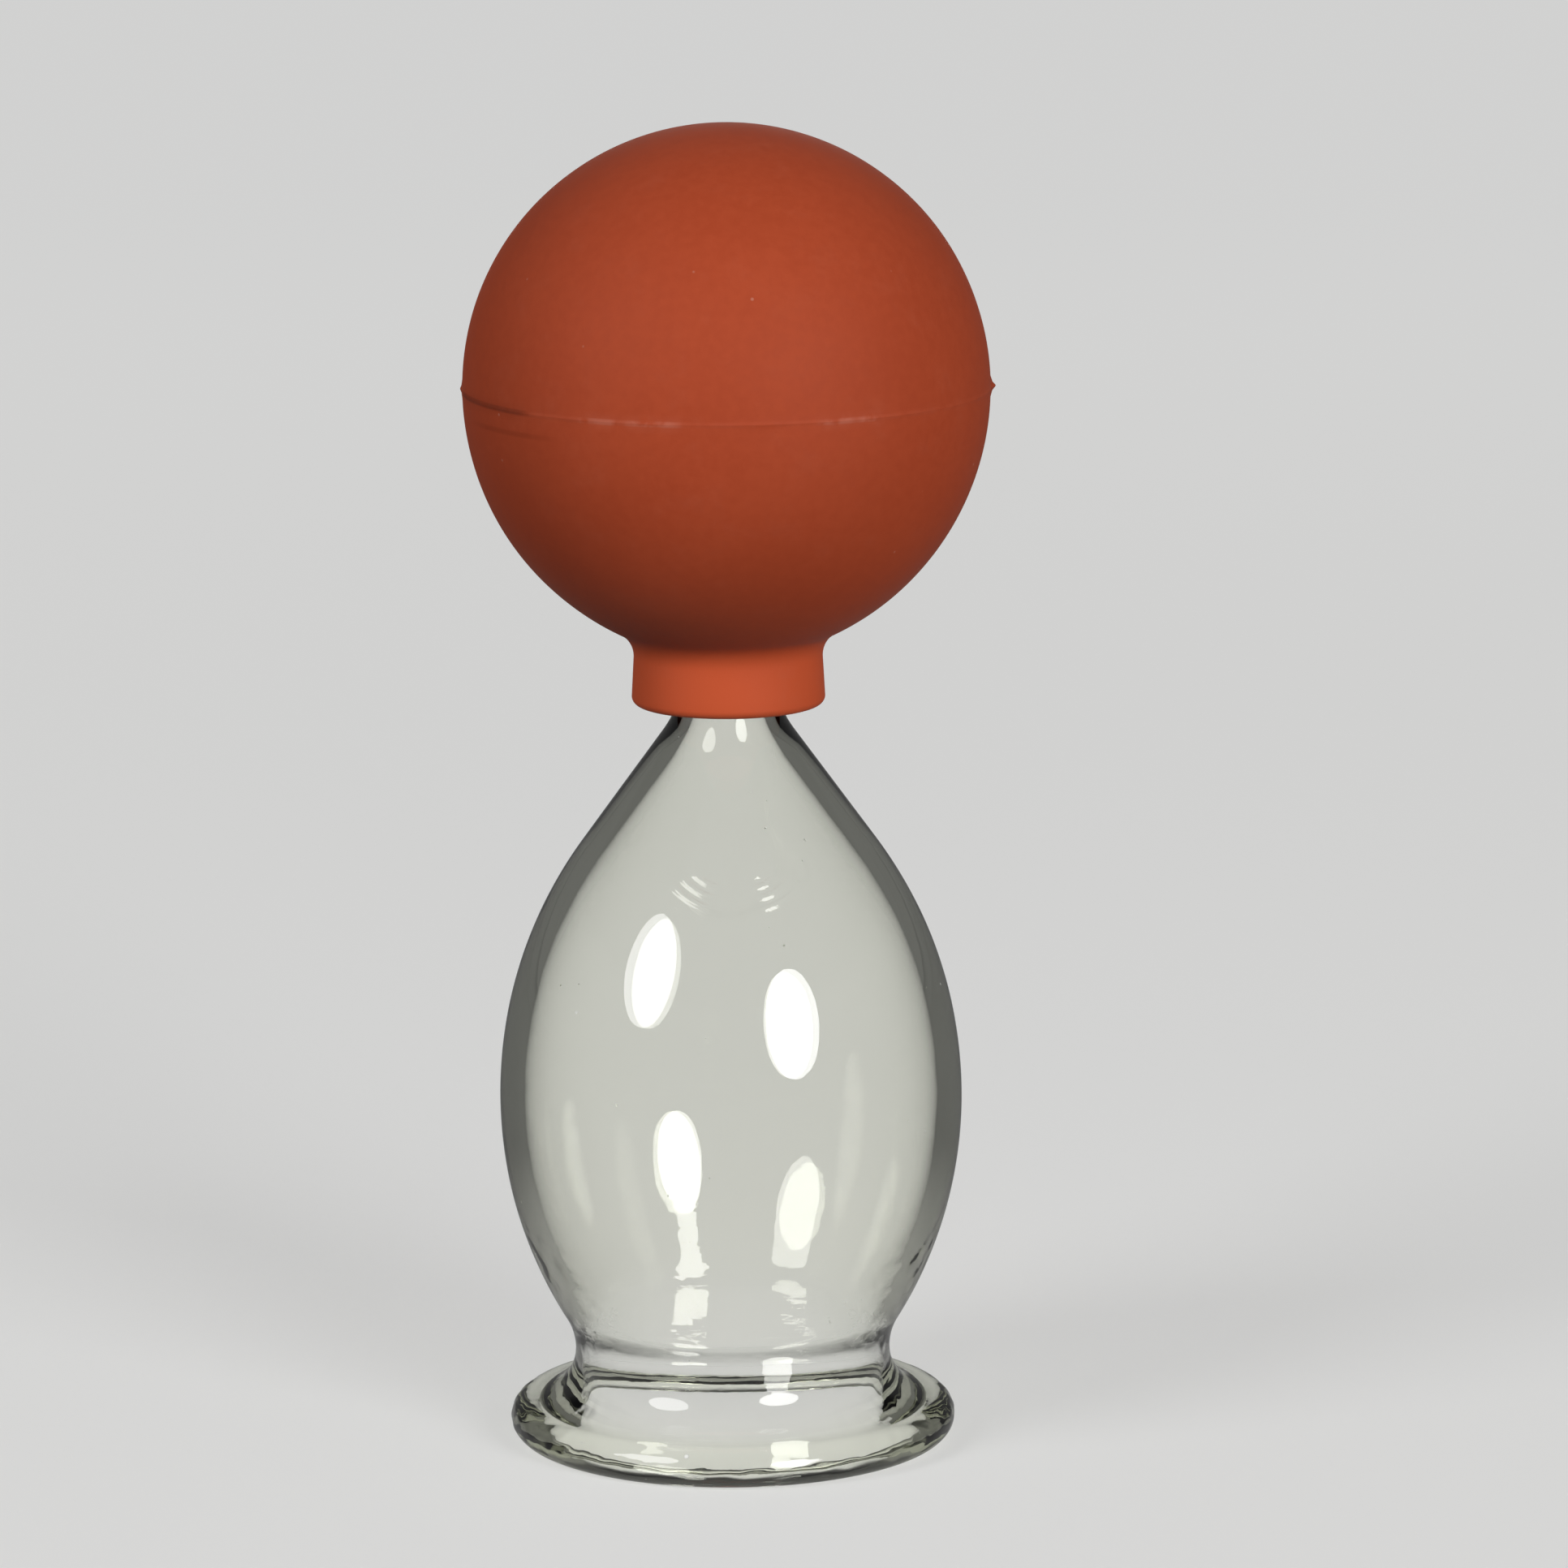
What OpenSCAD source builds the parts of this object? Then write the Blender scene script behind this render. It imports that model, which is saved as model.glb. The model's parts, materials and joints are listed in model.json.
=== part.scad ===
// Cupping glass: a blown glass cup whose neck carries a hollow rubber bulb.
// Millimetres, +Z up, origin on the axis at the plane that the rim stands on.

/* [Glass rim and waist] */
// Outside diameter of the rolled rim
rim_d = 49.8; // [46:0.1:54]
// Thickness of the rolled rim, from the table to its top
rim_bead = 4.66; // [3.6:0.02:5.6]
// Width of the flat ring that the rim stands on
rim_land = 1.4; // [0.8:0.1:2]
// Radius of the rounded inner edge of the mouth
mouth_edge = 1.2; // [0.6:0.1:1.8]
// Diameter of the glass at its waist
waist_d = 35.2; // [32:0.1:38]
// Height of the waist above the table
waist_z = 10; // [8:0.1:12]
// Radius of the hollow between the waist and the belly, seen from the side
waist_curve = 7.7; // [5:0.1:11]
// How much smaller in radius the throat, the narrowest place inside, is than the waist
throat_in = 1.3; // [1:0.05:2]
// How far the throat lies above the waist
throat_rise = 3; // [1:0.1:4]
// Radius of the hollow above the throat, seen from the side
throat_curve = 6; // [4:0.1:9]
// Length of the straight stretch of the inside above that hollow
throat_run = 6.6; // [3:0.1:8]

/* [Glass belly and shoulder] */
// Largest diameter of the belly
belly_d = 51.5; // [47:0.1:56]
// Height of the belly's largest diameter
belly_z = 39; // [36:0.1:42]
// Angle of the straight shoulder from upright, in degrees
shoulder_angle = 36; // [33:0.1:39]
// Thickness of the glass wall at the belly and the shoulder
glass_wall = 2.7; // [2.2:0.05:3.2]

/* [Glass neck] */
// Outside diameter of the neck tube
neck_d = 10; // [8:0.1:12]
// Radius of the flare from the shoulder into the neck
neck_flare = 12; // [8:0.5:16]
// Height at which the flare ends and the straight neck tube starts
neck_z = 87.4; // [84:0.1:91]
// Length of the straight neck tube, with its lip
neck_len = 8; // [6:0.1:12]
// How far the rounded lip at the end of the neck stands out
neck_lip = 0.4; // [0.2:0.05:0.8]
// Thickness of the neck tube's wall
neck_wall = 1.5; // [1.2:0.05:2]

/* [Rubber bulb] */
// Outside diameter of the ball at its seam
ball_d = 58; // [52:0.1:64]
// How much larger in radius the lower half's curve is than the ball
lower_extra = 1.2; // [0:0.05:2]
// Thickness of the rubber wall of the ball
ball_wall = 3; // [2:0.1:4]
// How far the moulding flash stands out from the seam
flash_out = 0.3; // [0.1:0.05:0.6]
// Width of the moulding flash across the seam
flash_w = 0.9; // [0.5:0.1:1.6]

/* [Rubber collar] */
// Diameter of the collar just under the ball
collar_d = 20.9; // [18:0.1:25]
// Height of the collar's side, from its mouth up to the fillet
collar_len = 5.4; // [4:0.1:9]
// How much larger in diameter the collar is at its mouth
collar_spread = 0.5; // [0:0.1:1]
// Radius of the fillet between the ball and the collar
collar_fillet = 3.1; // [1:0.1:4]
// Radius of the rounded edge of the collar's mouth
collar_edge = 0.9; // [0.6:0.1:2.6]

/* [Fit of the collar on the neck] */
// Radial clearance between the rubber and the glass
fit_gap = 0.05; // [0.02:0.01:0.1]
// How much wider in radius the bore is at its mouth, where it sits on the neck's flare
seat_spread = 0.3; // [0.1:0.05:0.8]

/* [Hidden] */
$fn = 180;

// How far the straight pieces of an arc may lie from the true curve
arc_sag = 0.02;

// Points of an arc about [x, z] from one angle to another, ends included
function arc(x, z, r, from, to) =
    let (steps = max(2, ceil(abs(to - from) / (2 * acos(1 - arc_sag / r)))))
    [for (i = [0 : steps]) let (a = from + (to - from) * i / steps) [x + r * cos(a), z + r * sin(a)]];

// Rolled rim: a round bead that stands on a flat land
bead_r = rim_bead / 2;
bead_x = rim_d / 2 - bead_r;
land_r = bead_x - rim_land;

// Skirt: the arc below the waist runs down onto the bead without a corner
waist_r = waist_d / 2;
skirt_in = waist_r - bead_x;
skirt_drop = waist_z - bead_r;
skirt_curve = (skirt_in ^ 2 + skirt_drop ^ 2 - bead_r ^ 2) / (2 * (bead_r - skirt_in));
skirt_x = waist_r + skirt_curve;
skirt_turn = atan2(skirt_drop, skirt_x - bead_x);

// Mouth: the inside below the throat runs down to the rounded edge beside the land
throat_r = waist_r - throat_in;
throat_z = waist_z + throat_rise;
mouth_in = throat_r - land_r;
mouth_drop = throat_z - mouth_edge;
mouth_curve = (mouth_edge ^ 2 - mouth_in ^ 2 - mouth_drop ^ 2) / (2 * (mouth_in + mouth_edge));
mouth_x = throat_r + mouth_curve;
mouth_turn = atan2(mouth_drop, mouth_x - land_r);

// Lower belly: its curve runs on from the waist and stands upright at the belly's largest diameter
belly_r = belly_d / 2;
waist_x = waist_r + waist_curve;
belly_drop = belly_z - waist_z;
lower_belly_curve = ((waist_x - belly_r) ^ 2 + belly_drop ^ 2 - waist_curve ^ 2) / (2 * (belly_r - waist_r));
lower_belly_x = belly_r - lower_belly_curve;
waist_turn = atan2(belly_drop, waist_x - lower_belly_x);

// Upper belly: its curve ends in the straight shoulder, which touches the neck's flare
neck_r = neck_d / 2;
flare_x = neck_r + neck_flare;
shoulder_top_x = flare_x - neck_flare * cos(shoulder_angle);
shoulder_top_z = neck_z - neck_flare * sin(shoulder_angle);
upper_belly_curve = ((shoulder_top_x - belly_r) * cos(shoulder_angle)
    + (shoulder_top_z - belly_z) * sin(shoulder_angle)) / (1 - cos(shoulder_angle));
upper_belly_x = belly_r - upper_belly_curve;

// Lower inside: a hollow above the throat, a straight stretch, then a curve that stands upright at the belly
inner_belly_r = belly_r - glass_wall;
inner_drop = belly_z - throat_z;
throat_turn = 2 * atan2(inner_belly_r - throat_r, inner_drop + throat_run);
inner_lower_curve = (inner_drop - throat_run * cos(throat_turn)) / sin(throat_turn) - throat_curve;

// Neck: its lip is rounded over the wall and its own overhang, and its thinner wall starts in the flare
neck_top = neck_z + neck_len;
inner_flare_z = neck_z - (glass_wall - neck_wall) / sin(shoulder_angle);
lip_r = (neck_wall + neck_lip) / 2;
lip_x = neck_r + neck_lip - lip_r;
lip_turn = acos((neck_r - lip_x) / lip_r);

// Bore: it passes the neck's lip, and its mouth follows the flare that it sits on
bore_r = neck_r + neck_lip + fit_gap;
seat_curve = neck_flare - fit_gap;
seat_top_turn = acos((flare_x - bore_r) / seat_curve);
seat_low_turn = acos((flare_x - bore_r - seat_spread) / seat_curve);
mouth_z = neck_z - seat_curve * sin(seat_low_turn);

// Collar: its fillet touches the curve of the ball's lower half
ball_r = ball_d / 2;
lower_curve = ball_r + lower_extra;
collar_r = collar_d / 2;
edge_x = collar_r + collar_spread / 2 - collar_edge;
fillet_x = collar_r + collar_fillet;
fillet_z = mouth_z + collar_len;
fillet_drop = sqrt((lower_curve + collar_fillet) ^ 2 - (fillet_x + lower_extra) ^ 2);
fillet_turn = atan2(fillet_drop, fillet_x + lower_extra);

// Ball: the seam lies at its largest diameter
seam_z = fillet_z + fillet_drop;
flash_r = ball_r + flash_out;
flash_turn = asin(flash_w / 2 / lower_curve);
inner_curve = lower_curve - ball_wall;
bore_turn = acos((bore_r + lower_extra) / inner_curve);

// Outside of the glass, from under the rim up to the neck
function glass_outside() = concat(
    arc(bead_x, bead_r, bead_r, -90, skirt_turn),
    arc(skirt_x, waist_z, skirt_curve, 180 + skirt_turn, 180),
    arc(waist_x, waist_z, waist_curve, 180, 180 - waist_turn),
    arc(lower_belly_x, belly_z, lower_belly_curve, -waist_turn, 0),
    arc(upper_belly_x, belly_z, upper_belly_curve, 0, shoulder_angle),
    arc(flare_x, neck_z, neck_flare, 180 + shoulder_angle, 180)
);

// Inside of the glass, from the neck down to the land under the rim
function glass_inside() = concat(
    arc(flare_x, inner_flare_z, neck_flare + neck_wall, 180, 180 + shoulder_angle),
    arc(upper_belly_x, belly_z, upper_belly_curve - glass_wall, shoulder_angle, 0),
    arc(inner_belly_r - inner_lower_curve, belly_z, inner_lower_curve, 0, -throat_turn),
    arc(throat_r + throat_curve, throat_z, throat_curve, 180 - throat_turn, 180),
    arc(mouth_x, throat_z, mouth_curve, 180, 180 + mouth_turn),
    arc(land_r, mouth_edge, mouth_edge, 180 + mouth_turn, 270)
);

// The cup: one wall of blown glass from the rolled rim to the lip of the neck
module glass_cup() {
    color([0.86, 0.93, 0.88, 0.35])
        rotate_extrude()
            polygon(concat(
                glass_outside(),
                arc(lip_x, neck_top - lip_r, lip_r, -lip_turn, 180),
                glass_inside()
            ));
}

// Lower half of the rubber: half ball, fillet, collar and the bore that sits on the neck
module bulb_lower_half() {
    color([0.69, 0.30, 0.19])
        rotate_extrude()
            polygon(concat(
                arc(flare_x, neck_z, seat_curve, 180 + seat_low_turn, 180 + seat_top_turn),
                arc(-lower_extra, seam_z, inner_curve, -bore_turn, 0),
                [[flash_r, seam_z]],
                arc(-lower_extra, seam_z, lower_curve, -flash_turn, -fillet_turn),
                arc(fillet_x, fillet_z, collar_fillet, 180 - fillet_turn, 180),
                arc(edge_x, mouth_z + collar_edge, collar_edge, 0, -90)
            ));
}

// Upper half of the rubber: a plain dome that meets the lower half at the seam
module bulb_upper_half() {
    color([0.69, 0.30, 0.19])
        translate([0, 0, seam_z])
            difference() {
                union() {
                    sphere(r = ball_r);
                    cylinder(r1 = flash_r, r2 = flash_r - 2 * flash_out, h = flash_w);
                }
                sphere(r = ball_r - ball_wall);
                translate([0, 0, -ball_d])
                    cylinder(r = ball_d, h = ball_d);
            }
}

glass_cup();
bulb_lower_half();
bulb_upper_half();
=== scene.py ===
import json
import math

import bpy
from mathutils import Matrix, Vector


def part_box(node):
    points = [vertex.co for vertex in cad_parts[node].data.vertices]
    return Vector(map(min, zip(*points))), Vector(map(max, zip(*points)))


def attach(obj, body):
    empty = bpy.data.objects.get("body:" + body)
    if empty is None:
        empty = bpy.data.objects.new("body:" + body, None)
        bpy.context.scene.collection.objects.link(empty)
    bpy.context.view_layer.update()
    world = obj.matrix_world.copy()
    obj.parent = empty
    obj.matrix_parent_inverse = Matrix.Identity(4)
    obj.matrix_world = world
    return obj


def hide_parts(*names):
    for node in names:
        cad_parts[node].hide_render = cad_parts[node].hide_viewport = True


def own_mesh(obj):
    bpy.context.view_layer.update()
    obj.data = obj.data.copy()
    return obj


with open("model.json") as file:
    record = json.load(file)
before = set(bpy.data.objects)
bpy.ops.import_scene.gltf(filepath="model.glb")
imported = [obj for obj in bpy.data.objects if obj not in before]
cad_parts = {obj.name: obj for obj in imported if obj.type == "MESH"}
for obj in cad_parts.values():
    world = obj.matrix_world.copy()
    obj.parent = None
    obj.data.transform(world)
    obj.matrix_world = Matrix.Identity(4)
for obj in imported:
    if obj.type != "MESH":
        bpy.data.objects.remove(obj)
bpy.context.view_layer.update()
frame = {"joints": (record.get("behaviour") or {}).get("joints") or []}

# Blown cupping glass with a rubber squeeze bulb. Metres, +Z up, the rim stands on z = 0.
mm = 0.001


# Node building: a wired socket takes part in sums, and one method adds every other node

def findSocket(sockets, key):
    if isinstance(key, int):
        return sockets[key]
    for socket in sockets:
        if socket.identifier == key:
            return socket
    return sockets[key]


class Wire:
    def __init__(self, bench, socket):
        self.bench = bench
        self.socket = socket

    def out(self, key):
        return Wire(self.bench, findSocket(self.socket.node.outputs, key))

    def maths(self, operation, *values):
        return self.bench.add("ShaderNodeMath", {"operation": operation}, dict(enumerate(values)))

    def __add__(self, other):
        return self.maths("ADD", self, other)

    def __radd__(self, other):
        return self.maths("ADD", other, self)

    def __sub__(self, other):
        return self.maths("SUBTRACT", self, other)

    def __rsub__(self, other):
        return self.maths("SUBTRACT", other, self)

    def __mul__(self, other):
        return self.maths("MULTIPLY", self, other)

    def __rmul__(self, other):
        return self.maths("MULTIPLY", other, self)

    def __truediv__(self, other):
        return self.maths("DIVIDE", self, other)

    def __rtruediv__(self, other):
        return self.maths("DIVIDE", other, self)

    def __mod__(self, other):
        return self.maths("FLOORED_MODULO", self, other)

    def __pow__(self, other):
        return self.maths("POWER", self, other)

    def __abs__(self):
        return self.maths("ABSOLUTE", self)


class Bench:
    def __init__(self, tree):
        self.tree = tree

    def add(self, kind, settings=None, sockets=None, out=0):
        node = self.tree.nodes.new(kind)
        for name, value in (settings or {}).items():
            setattr(node, name, value)
        for key, value in (sockets or {}).items():
            socket = findSocket(node.inputs, key)
            if isinstance(value, Wire):
                self.tree.links.new(value.socket, socket)
            else:
                socket.default_value = value
        return Wire(self, findSocket(node.outputs, out)) if node.outputs else None

    def noise(self, vector, scale, detail=2.0, roughness=0.5, seed=0.0):
        return self.add("ShaderNodeTexNoise", {"noise_dimensions": "4D"},
                        {"Vector": vector, "W": seed, "Scale": scale, "Detail": detail,
                         "Roughness": roughness})

    def cells(self, vector, scale):
        return self.add("ShaderNodeTexVoronoi", {"feature": "F1"}, {"Vector": vector, "Scale": scale})

    def ramp(self, value, low, high, bottom=0.0, top=1.0):
        return self.add("ShaderNodeMapRange", {"interpolation_type": "SMOOTHSTEP", "clamp": True},
                        {"Value": value, "From Min": low, "From Max": high,
                         "To Min": bottom, "To Max": top})

    def blend(self, factor, first, second):
        return self.add("ShaderNodeMix", {"data_type": "RGBA"},
                        {"Factor_Float": factor, "A_Color": first, "B_Color": second},
                        out="Result_Color")


def newMaterial(name):
    material = bpy.data.materials.new(name)
    material.use_nodes = True
    material.node_tree.nodes.clear()
    return material, Bench(material.node_tree)


# Rubber: matt orange-red moulding with faint mottling, dust and a chalky mould seam

rubberLook = dict(
    colour=(0.478, 0.0735, 0.0252, 1),
    deepColour=(0.440, 0.064, 0.021, 1),
    bloomColour=(0.540, 0.170, 0.105, 1),
    chalkColour=(0.560, 0.150, 0.090, 1),
    # dark colour painted along the seam as its shadow, also used for the fainter line under it
    seamShadowColour=(0.200, 0.026, 0.006, 1),
    dustColour=(0.640, 0.290, 0.210, 1),
    stretchedColour=(0.630, 0.101, 0.034, 1),
    stretchedFrom=92.5 * mm,    # the collar is paler where it is stretched over the neck
    stretchedTo=89.0 * mm,
    roughness=0.66,
    mottleRoughness=0.16,
    filmRoughness=0.08,
    specular=0.15,
    sheen=0.06,
    sheenRoughness=0.42,
    sheenTint=(1.0, 0.86, 0.80, 1),
    cloudScale=70,
    cloudShare=0.45,
    mottleScale=900,
    toneRange=(0.30, 0.70),
    grainScale=4200,
    grainShare=0.65,
    filmScale=230,              # thin bloom that old rubber gets
    filmRange=(0.50, 0.80),
    filmShare=0.10,
    dustScale=330,
    dustEdge=(0.03, 0.08),      # as shares of a cell
    dustChance=(0.80, 0.86),
    dustShare=0.45,
    wornScale=620,
    wornRange=(0.30, 0.62),
    chalkAllRound=0.14,
    paleDashes=[(-118, 6), (-106, 8), (-66, 6), (-58, 4), (0, 2.5)],    # place and half width, in degrees
    # stretches of the seam where its shadow is painted into the colour
    shadowedStretches=[(-164, 14), (-146, 11)],
    markCore=0.4,               # how much of the half width is at full strength
    lineRange=(0.05, 0.70),
    lineShadow=0.55,
    lineChalk=0.50,
    bandShare=0.20,
    creaseZ=116.2 * mm,         # a second, fainter line under the seam
    creaseWidth=(0.10 * mm, 0.45 * mm),
    creaseTurn=-146,
    creaseReach=(6, 20),
    creaseShare=0.28,
    reliefStrength=0.22,
    reliefDepth=0.06 * mm,
)


def rubberMaterial(look):
    material, bench = newMaterial("redRubber")
    coords = bench.add("ShaderNodeTexCoord", out="Object")
    axes = bench.add("ShaderNodeSeparateXYZ", {}, {"Vector": coords})
    cloud = bench.noise(coords, look["cloudScale"], detail=3, seed=1.3)
    mottle = bench.noise(coords, look["mottleScale"], detail=3, seed=4.1)
    grain = bench.noise(coords, look["grainScale"], detail=2, seed=7.7)
    tone = bench.ramp(cloud * look["cloudShare"] + mottle * (1 - look["cloudShare"]), *look["toneRange"])
    colour = bench.blend(tone, look["deepColour"], look["colour"])
    stretched = bench.ramp(axes.out("Z"), look["stretchedTo"], look["stretchedFrom"], 1.0, 0.0)
    colour = bench.blend(stretched, colour, look["stretchedColour"])
    film = bench.noise(coords, look["filmScale"], detail=5, roughness=0.65, seed=9.2)
    film = bench.ramp(film, *look["filmRange"])
    colour = bench.blend(film * look["filmShare"], colour, look["bloomColour"])

    # Dust: a few pale points, one in some of the cells
    cells = bench.cells(coords, look["dustScale"])
    chance = bench.add("ShaderNodeSeparateColor", {}, {"Color": cells.out("Color")})
    dust = bench.ramp(cells.out("Distance"), *look["dustEdge"], 1.0, 0.0)
    dust = dust * bench.ramp(chance, *look["dustChance"])
    colour = bench.blend(dust * look["dustShare"], colour, look["dustColour"])

    # Seam marks lie on the flash and are placed by their turn round the axis: pale chalky dashes, and dark
    # stretches of painted shadow under the seam's overhanging edge
    flash = bench.add("ShaderNodeAttribute", {"attribute_name": "flash"}, out="Fac")
    band = bench.add("ShaderNodeAttribute", {"attribute_name": "band"}, out="Fac")
    turn = axes.maths("ARCTAN2", axes.out("Y"), axes.out("X")) * (180 / math.pi)
    worn = bench.noise(coords, look["wornScale"], detail=3, seed=2.4)
    worn = bench.ramp(worn, *look["wornRange"])

    def aroundSeam(marks):
        return sum(bench.ramp(abs(turn - place), half * look["markCore"], half, 1.0, 0.0)
                   for place, half in marks)

    chalk = (look["chalkAllRound"] + aroundSeam(look["paleDashes"])) * worn
    # painted shadow along the seam, where the upper half's edge overhangs it
    seamShadow = aroundSeam(look["shadowedStretches"])
    line = bench.ramp(flash, *look["lineRange"])
    beside = band * look["bandShare"]
    colour = bench.blend((line * look["lineShadow"] + beside) * seamShadow, colour, look["seamShadowColour"])
    crease = bench.ramp(abs(axes.out("Z") - look["creaseZ"]), *look["creaseWidth"], 1.0, 0.0)
    crease = crease * bench.ramp(abs(turn - look["creaseTurn"]), *look["creaseReach"], 1.0, 0.0)
    colour = bench.blend(crease * look["creaseShare"], colour, look["seamShadowColour"])
    colour = bench.blend((line * look["lineChalk"] + beside) * chalk, colour, look["chalkColour"])

    roughness = look["roughness"] + (mottle - 0.5) * look["mottleRoughness"] + film * look["filmRoughness"]
    relief = mottle * (1 - look["grainShare"]) + grain * look["grainShare"]
    bump = bench.add("ShaderNodeBump", {}, {
        "Strength": look["reliefStrength"], "Distance": look["reliefDepth"], "Height": relief})
    shader = bench.add("ShaderNodeBsdfPrincipled", {}, {
        "Base Color": colour, "Roughness": roughness, "Normal": bump,
        "Specular IOR Level": look["specular"], "Sheen Weight": look["sheen"],
        "Sheen Roughness": look["sheenRoughness"], "Sheen Tint": look["sheenTint"]})
    bench.add("ShaderNodeOutputMaterial", {}, {"Surface": shader})
    return material


# Glass: clear, fire polished, faintly yellow-green through its depth, with dust on it

glassLook = dict(
    ior=1.49,
    tint=(0.780, 0.860, 0.300, 1),
    tintDensity=28.0,
    smearScale=70,
    smearRange=(0.50, 0.82),
    smearRoughness=0.035,
    waverScale=240,
    waverShare=0.50,
    crinkleScale=750,           # fine creases round the waist, longer than they are high
    crinkleFlat=(0.5, 0.5, 1.0),
    crinkleShare=0.75,
    crinkleFadeIn=(5 * mm, 12 * mm),
    crinkleFadeOut=(20 * mm, 31 * mm),
    reliefStrength=0.4,
    reliefDepth=0.05 * mm,
    dustColour=(0.90, 0.90, 0.88, 1),
    dustScale=420,
    dustSmallest=0.035,         # as shares of a cell
    dustSpread=0.085,
    dustEdge=(0.7, 1.1),
    dustChance=(0.70, 0.74),
    dustDensity=0.90,
    patchScale=60,
    patchRange=(0.40, 0.70),
    patchShare=0.3,
    lampColour=(0.97, 0.98, 0.96, 1),
    lampShare=0.30,             # the rest of a lamp's light comes through bent
    grazeLoss=0.75,
)


def glassMaterial(look):
    material, bench = newMaterial("clearGlass")
    coords = bench.add("ShaderNodeTexCoord", out="Object")
    smear = bench.noise(coords, look["smearScale"], detail=4, roughness=0.6, seed=3.5)
    smear = bench.ramp(smear, *look["smearRange"])
    waver = bench.noise(coords, look["waverScale"], detail=1, seed=6.0)
    axes = bench.add("ShaderNodeSeparateXYZ", {}, {"Vector": coords})
    flat = bench.add("ShaderNodeVectorMath", {"operation": "MULTIPLY"}, {0: coords, 1: look["crinkleFlat"]})
    crinkle = bench.noise(flat, look["crinkleScale"], detail=2, seed=5.2)
    crinkle = crinkle * bench.ramp(axes.out("Z"), *look["crinkleFadeIn"])
    crinkle = crinkle * bench.ramp(axes.out("Z"), *look["crinkleFadeOut"], 1.0, 0.0)
    bump = bench.add("ShaderNodeBump", {}, {
        "Strength": look["reliefStrength"], "Distance": look["reliefDepth"],
        "Height": waver * look["waverShare"] + crinkle * look["crinkleShare"]})
    glass = bench.add("ShaderNodeBsdfPrincipled", {}, {
        "Base Color": (1, 1, 1, 1), "Roughness": smear * look["smearRoughness"], "Normal": bump,
        "IOR": look["ior"], "Transmission Weight": 1.0})

    # Dust: pale points on the wall, thicker in patches
    cells = bench.cells(coords, look["dustScale"])
    chance = bench.add("ShaderNodeSeparateColor", {}, {"Color": cells.out("Color")})
    patch = bench.noise(coords, look["patchScale"], detail=2, seed=8.1)
    patch = bench.ramp(patch, *look["patchRange"])
    size = look["dustSmallest"] + chance.out("Green") ** 3.0 * look["dustSpread"]
    dust = bench.ramp(cells.out("Distance") / size, *look["dustEdge"], 1.0, 0.0)
    likely = chance * (1 - look["patchShare"]) + patch * look["patchShare"]
    dust = dust * bench.ramp(likely, *look["dustChance"]) * look["dustDensity"]
    speck = bench.add("ShaderNodeBsdfDiffuse", {}, {"Color": look["dustColour"]})
    dusty = bench.add("ShaderNodeMixShader", {}, {0: dust, 1: glass, 2: speck})

    # Lamps shine through the wall, less so where they graze it
    path = bench.add("ShaderNodeLightPath", out="Is Shadow Ray")
    facing = bench.add("ShaderNodeLayerWeight", {}, {"Blend": 0.5}, out="Facing")
    clear = bench.add("ShaderNodeBsdfTransparent", {}, {"Color": look["lampColour"]})
    through = path * (1 - look["grazeLoss"] * facing ** 2.0) * look["lampShare"]
    surface = bench.add("ShaderNodeMixShader", {}, {0: through, 1: dusty, 2: clear})
    depth = bench.add("ShaderNodeVolumeAbsorption", {}, {
        "Color": look["tint"], "Density": look["tintDensity"]})
    bench.add("ShaderNodeOutputMaterial", {}, {"Surface": surface, "Volume": depth})
    return material


rubber = rubberMaterial(rubberLook)
clearGlass = glassMaterial(glassLook)
print("materials: rubber and glass")


# Turned wall: an outline of points is swept round the axis, with hand-made unevenness

wallInputs = [
    ("Steps round", "NodeSocketInt"),
    ("Closed outline", "NodeSocketInt"),
    ("Slow scale", "NodeSocketFloat"),
    ("Fine scale", "NodeSocketFloat"),
    ("Fine stretch", "NodeSocketFloat"),
    ("Mark centre", "NodeSocketVector"),
    ("Mark pitch", "NodeSocketFloat"),
    ("Mark depth", "NodeSocketFloat"),
    ("Mark radius", "NodeSocketFloat"),
    ("Nub depth", "NodeSocketFloat"),
    ("Nub width", "NodeSocketFloat"),
    ("Seed", "NodeSocketFloat"),
    ("Material", "NodeSocketMaterial"),
]
wallWeights = ("slowDepth", "fineDepth", "sideDepth", "flash", "band", "marked")
wallShape = dict(
    ringInner=(0.25, 0.50),     # where the tool's rings fade in and out, as shares of their radius
    ringOuter=(0.85, 1.00),
    ringSideways=(0.25, 0.50),  # how far to the side of the mark's centre they start, and how far below it
    ringBelow=(-0.45, -0.10),
    sidePower=8.0,              # how closely the side wrinkles keep to the left and right
    leftNub=0.40,               # the left nub's size beside the right one's
    leftNubWidth=0.5,
    fineSeed=7.3,               # sets the fine unevenness apart from the slow one
    mergeGap=0.002 * mm,
    sharpDeg=50,
)


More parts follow.
